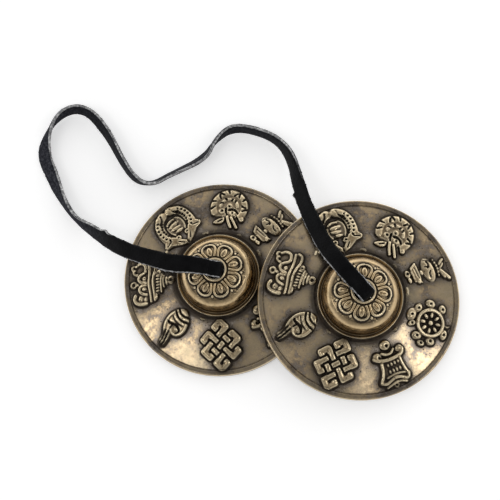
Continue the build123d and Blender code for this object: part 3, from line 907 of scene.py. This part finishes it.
def cast_cymbal(name, centre, x_way, up_way):
    """One cymbal as a dense closed mesh, with how hollow and how raised each place is."""
    rings = len(cymbal_profile)
    bearing = np.arange(sectors) / sectors * 2 * math.pi
    radius = np.repeat(cymbal_profile[:, :1], sectors, 1)
    x, y = radius * np.cos(bearing), radius * np.sin(bearing)
    z = np.repeat(cymbal_profile[:, 1:], sectors, 1)
    top = np.arange(rings)[:, None] <= np.argmax(cymbal_profile[:, 0])
    flange = top & (radius > flange_inner) & (radius < flange_outer)
    crown = top & (radius > crown_inner) & (radius < crown_outer) & (z > crown_low)
    raised = np.zeros(x.shape)
    raised[flange] = symbol_heights(x[flange], y[flange])
    raised[crown] = petal_heights(x[crown], y[crown])
    # dark beside the raised lines and low among them, and darker still between the petals
    beside = blurred(np.clip((widened(raised, 1) - raised - 0.1) / 0.4, 0, 1), 1)
    among = np.clip((blurred(raised, 12) - raised) / 0.34, 0, 1) * 0.55
    hollow = np.maximum(beside, among)
    hollow = np.where(crown, np.clip(hollow * 1.7, 0, 1), hollow)
    hollow = with_rings(hollow, stained_rings, radius, top)
    # hazed about the symbols, along the rim and round the foot of the boss
    near_relief = blurred(np.clip(raised / 0.3, 0, 1), 90)
    haze = np.clip(near_relief * 1.7, 0, 1) * 0.5 + 0.12 * soft_ring(radius, 31.4, 1.0)
    haze = np.where(radius > 13.9, haze + 0.3 * soft_ring(radius, 14.3, 2.2), 0.0)
    flank_haze = 0.35 * np.clip((8.2 - z) / 1.3, 0, 1) - 0.1
    haze = np.where((radius > 9.8) & (z > 6.9), flank_haze, haze)
    haze = np.where(top & (radius < 32.45), haze, 0.25)
    # rubbed on the crests of the relief, and painted brighter there as a highlight
    ridge = np.clip((raised - blurred(raised, 3)) / 0.12, 0, 1)
    ridge = with_rings(ridge, worn_and_highlit_rings, radius, top)
    # golden on the boss and on all that is raised
    golden = np.where(top & (radius > 3.5) & (radius < 12.6), 1.0, np.clip(raised / 0.9, 0, 1))
    z = z + raised
    y_way = np.cross(up_way, x_way)
    points = centre + x[..., None] * x_way + y[..., None] * y_way + z[..., None] * up_way
    i, j = np.meshgrid(np.arange(rings), np.arange(sectors), indexing="ij")
    i2, j2 = (i + 1) % rings, (j + 1) % sectors
    corners = [i * sectors + j, i2 * sectors + j, i2 * sectors + j2, i * sectors + j2]
    faces = np.stack(corners, -1).reshape(-1, 4)
    mesh = bpy.data.meshes.new(name)
    mesh.vertices.add(rings * sectors)
    mesh.vertices.foreach_set("co", (points * MM).astype(np.float32).ravel())
    mesh.loops.add(len(faces) * 4)
    mesh.loops.foreach_set("vertex_index", faces.astype(np.int32).ravel())
    mesh.polygons.add(len(faces))
    mesh.polygons.foreach_set("loop_start", np.arange(0, len(faces) * 4, 4, dtype=np.int32))
    mesh.update(calc_edges=True)
    mesh.shade_smooth()
    for label, field in (("hollow", hollow), ("raised", golden), ("ridge", ridge), ("haze", haze)):
        attribute = mesh.attributes.new(label, "FLOAT", "POINT")
        attribute.data.foreach_set("value", field.astype(np.float32).ravel())
    made = bpy.data.objects.new(name, mesh)
    bpy.context.scene.collection.objects.link(made)
    return made


# patina in the recesses and in clouds of spots, gold where it is raised, and a pale gold where it is rubbed,
# which is partly a painted highlight
brass_group, (hollow_in, raised_in, ridge_in, haze_in), group_out = open_group(
    "aged brass", ("Hollow", "Raised", "Ridge", "Haze"), ("Color", "Roughness", "Metallic", "Height")
)
clouds, mottle, speckle, scratch = textures(
    brass_group,
    ("TexNoise", dict(Scale=140.0, Detail=5.0, Roughness=0.62)),
    ("TexNoise", dict(Scale=560.0, Detail=7.0, Roughness=0.78)),
    ("TexVoronoi", dict(Scale=900.0)),
    ("TexNoise", dict(Scale=2400.0, Detail=4.0, Roughness=0.8)),
)
cloudy, mottled = (clouds, "Fac"), (mottle, "Fac")
metal = ramp(
    brass_group, cloudy,
    (0.38, (0.41, 0.33, 0.215)), (0.46, (0.58, 0.45, 0.28)),
    (0.54, (0.74, 0.55, 0.32)), (0.62, (0.50, 0.39, 0.28)),
)
hazed = combined(brass_group, "MULTIPLY_ADD", mottled, 0.7, haze_in)
hazed = combined(brass_group, "MULTIPLY_ADD", cloudy, 0.9, hazed)
haze_level = mapped(brass_group, hazed, From_Min=0.5, From_Max=1.5)
haze_mask = ramp(
    brass_group, haze_level, (0.2, grey(0)), (0.32, grey(0.35)), (0.5, grey(0.85)), (0.8, grey(1))
)
haze_colour = ramp(
    brass_group, mottled,
    (0.4, (0.05, 0.043, 0.038)), (0.52, (0.15, 0.13, 0.115)), (0.62, (0.34, 0.30, 0.26)),
)
hazed_metal = mixed(brass_group, haze_mask, metal, haze_colour)
golden = ramp(
    brass_group, mottled,
    (0.38, (0.24, 0.17, 0.09)), (0.48, (0.43, 0.315, 0.17)), (0.62, (0.62, 0.46, 0.26)),
)
raised_share = combined(brass_group, "MULTIPLY", raised_in, 0.75)
golden_metal = mixed(brass_group, raised_share, hazed_metal, golden)
# a pale gold on the crests and rubbed edges: partly wear, partly a painted highlight
wear_and_highlight_share = combined(brass_group, "MULTIPLY", ridge_in, 0.85)
worn_and_highlit_metal = mixed(brass_group, wear_and_highlight_share, golden_metal, (0.97, 0.82, 0.55))
stain = combined(brass_group, "MULTIPLY_ADD", mottled, 0.4, hollow_in)
stain = combined(brass_group, "MULTIPLY_ADD", cloudy, 0.5, stain)
stain_mask = ramp(
    brass_group, stain, (0.44, grey(0)), (0.6, grey(0.25)), (0.88, grey(0.97)), (1.0, grey(1))
)
spots = ramp(brass_group, (speckle, "Distance"), (0.12, grey(1)), (0.26, grey(0)))
spot_area = ramp(brass_group, haze_level, (0.24, grey(0)), (0.5, grey(0.9)))
spot_mask = combined(brass_group, "MULTIPLY", spots, spot_area)
dark_mask = combined(brass_group, "MAXIMUM", stain_mask, spot_mask)
patina = ramp(brass_group, mottled, (0.35, (0.008, 0.007, 0.006)), (0.7, (0.05, 0.036, 0.024)))
rough = combined(brass_group, "MULTIPLY_ADD", ridge_in, -0.25, mottled)
rough = combined(brass_group, "MULTIPLY_ADD", dark_mask, 0.6, rough)
fill(
    brass_group, group_out,
    Color=mixed(brass_group, dark_mask, worn_and_highlit_metal, patina),
    Roughness=mapped(brass_group, rough, From_Min=0.3, From_Max=1.3, To_Min=0.13, To_Max=0.42),
    Metallic=mapped(brass_group, dark_mask, To_Min=1.0, To_Max=0.9),
    Height=combined(brass_group, "MULTIPLY_ADD", (scratch, "Fac"), 0.12, mottled),
)
brass = surface("antique_brass", brass_group, ("hollow", "raised", "ridge", "haze"), 0.07, 0.3 * MM)

left_cymbal_turn = 22.5
left_x = rotated((1, 0, 0), upward, left_cymbal_turn)
left_cymbal = cast_cymbal("left_cymbal_casting", left_centre, left_x, upward)
left_cymbal.data.materials.append(brass)
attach(left_cymbal, "left_cymbal")
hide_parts("left_cymbal")

# Right cymbal
# A second brass casting from the same pattern. Nothing holds it: it is tipped up on the
# left one, and only the strap in its hole joins the two.
right_cymbal = cast_cymbal("right_cymbal_casting", right_centre, right_x, right_up)
right_cymbal.data.materials.append(brass)
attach(right_cymbal, "right_cymbal")
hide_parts("right_cymbal")


# Left knot
# The thong's end, of the same black leather. It folds down into the hole, hugs the hole's
# wall, and is tied under it, which keeps the cymbal on the strap.
def folded_end(name, pivot, up_way, way):
    """The fold from the strap's end down through a hole."""
    ahead = unit(way - up_way * float(way @ up_way))
    places = [
        (-2.05, -8.6), (-2.05, -5.6), (-2.05, -3.0), (-2.1, -1.6), (-2.0, -0.2), (-1.2, 0.5), (0.0, 0.4),
    ]
    line = [pivot + ahead * a + up_way * h for a, h in places]
    hidden_end = 3.4
    smooth = row(line + [pivot + way * strap_end_gap, pivot + way * hidden_end])
    for _ in range(3):
        cut = [smooth[0]]
        for a, b in zip(smooth, smooth[1:]):
            cut += [a * 0.75 + b * 0.25, a * 0.25 + b * 0.75]
        smooth = row(cut + [smooth[-1]])
    depth = (smooth - pivot) @ up_way
    smooth, depth = resampled(smooth, line_step, depth)
    # it is bent round the hole's wall from a little under the lip
    cup = 0.42 * np.clip((-depth - 0.4) / 1.6, 0, 1)
    sides = np.repeat(unit(np.cross(up_way, ahead))[None], len(smooth), 0)
    return thong(name, smooth, sides, (2.55, 2.55), strap_thickness / 2 * 0.95, cup, 31)


def tied_knot(name, centre, up_way, way):
    """An overhand knot of the thong, with its tail, under the ceiling of the hollow."""
    ahead = unit(way - up_way * float(way @ up_way))
    beside = np.cross(up_way, ahead)
    t = np.linspace(0.35, 2 * math.pi - 0.1, 160)
    reach, tall, knot_height = 1.35, 1.5, 9.1
    a = (np.sin(t) + 2 * np.sin(2 * t)) * reach * 0.85
    b = (np.cos(t) - 2 * np.cos(2 * t)) * reach * 0.85
    h = -np.sin(3 * t) * tall + knot_height
    line = centre + a[:, None] * ahead + b[:, None] * beside + h[:, None] * up_way
    inward = unit(centre + up_way * knot_height - line)
    ways = unit(np.gradient(line, axis=0))
    sides = unit(np.cross(ways, inward))
    return thong(name, line, sides, (1.9, 1.9), 0.62, np.full(len(line), 0.05), 47)


def end_of_strap(name, pivot, centre, up_way, way):
    """One end of the strap: its fold through the hole, and the knot below."""
    fold = folded_end(name + "_fold", pivot, up_way, way)
    tied = tied_knot(name + "_tied", centre, up_way, way)
    for piece in (fold, tied):
        piece.data.materials.append(leather)
        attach(piece, name)
    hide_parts(name)


end_of_strap("left_knot", left_pivot, left_centre, upward, left_way)

# Right knot
# The thong's other end, folded and tied in the same way under the right cymbal,
# and leaning with it.
end_of_strap("right_knot", right_pivot, right_centre, right_up, right_way)

# Floor and light
# A plain white table in a pale room, and three soft lights: a strong one at the right,
# a long one at the left and a small one in front. The room is dim overhead and bright low down.
floor_mesh = bpy.data.meshes.new("table_top")
floor_mesh.from_pydata([(-3, -3, 0), (3, -3, 0), (3, 3, 0), (-3, 3, 0)], [], [(0, 1, 2, 3)])
floor = bpy.data.objects.new("table_top", floor_mesh)
bpy.context.scene.collection.objects.link(floor)
floor_material = bpy.data.materials.new("table_white")
floor_material.use_nodes = True
floor_shader = floor_material.node_tree.nodes["Principled BSDF"]
floor_shader.inputs["Base Color"].default_value = (0.9, 0.9, 0.9, 1)
floor_shader.inputs["Roughness"].default_value = 0.9
floor_shader.inputs["Emission Strength"].default_value = 1.0
tree = floor_material.node_tree
seen = add_node(tree, "LightPath")
# lifted to white where it is seen, straight or mirrored, and casting no more light for that
seen_or_mirrored = combined(tree, "MAXIMUM", (seen, "Is Camera Ray"), (seen, "Is Glossy Ray"))
seen_at_all = combined(tree, "MAXIMUM", seen_or_mirrored, (seen, "Is Transmission Ray"))
lift = mixed(tree, seen_at_all, grey(0.0), grey(0.42))
link(tree, lift, (floor_shader, "Emission Color"))
floor.data.materials.append(floor_material)


def soft_light(name, place, size, power, turn=0.0):
    """A square soft light that faces the cymbals, turned in its own plane."""
    data = bpy.data.lights.new(name, "AREA")
    data.shape = "RECTANGLE"
    data.size, data.size_y = size
    data.energy = power
    lamp = bpy.data.objects.new(name, data)
    bpy.context.scene.collection.objects.link(lamp)
    lamp.location = place
    facing = (Vector(place) * -1).to_track_quat("-Z", "Y").to_matrix()
    lamp.rotation_euler = (facing @ Matrix.Rotation(math.radians(turn), 3, "Z")).to_euler()


soft_light("light_right", (0.62, -0.165, 0.77), (0.29, 0.22), 0.66, -18)
soft_light("light_left", (-0.44, -0.235, 0.867), (0.54, 0.15), 0.6, 24)
soft_light("light_front", (0.28, -0.37, 0.885), (0.12, 0.13), 0.08)

world = bpy.data.worlds.new("studio")
bpy.context.scene.world = world
world.use_nodes = True
tree = world.node_tree
background = tree.nodes["Background"]
directions = add_node(tree, "TexCoord")
direction_parts = add_node(tree, "SeparateXYZ")
link(tree, (directions, "Generated"), (direction_parts, "Vector"))
room = ramp(tree, (direction_parts, "Z"), (0.15, grey(1.0)), (0.34, grey(0.62)), (0.7, grey(0.29)))
dim_front = mapped(tree, (direction_parts, "Y"), From_Min=-0.9, From_Max=0.7, To_Min=0.5, To_Max=1.08)
link(tree, combined(tree, "MULTIPLY", room, dim_front), (background, "Color"))
background.inputs["Strength"].default_value = 1.8
bpy.context.scene.view_settings.view_transform = "Standard"
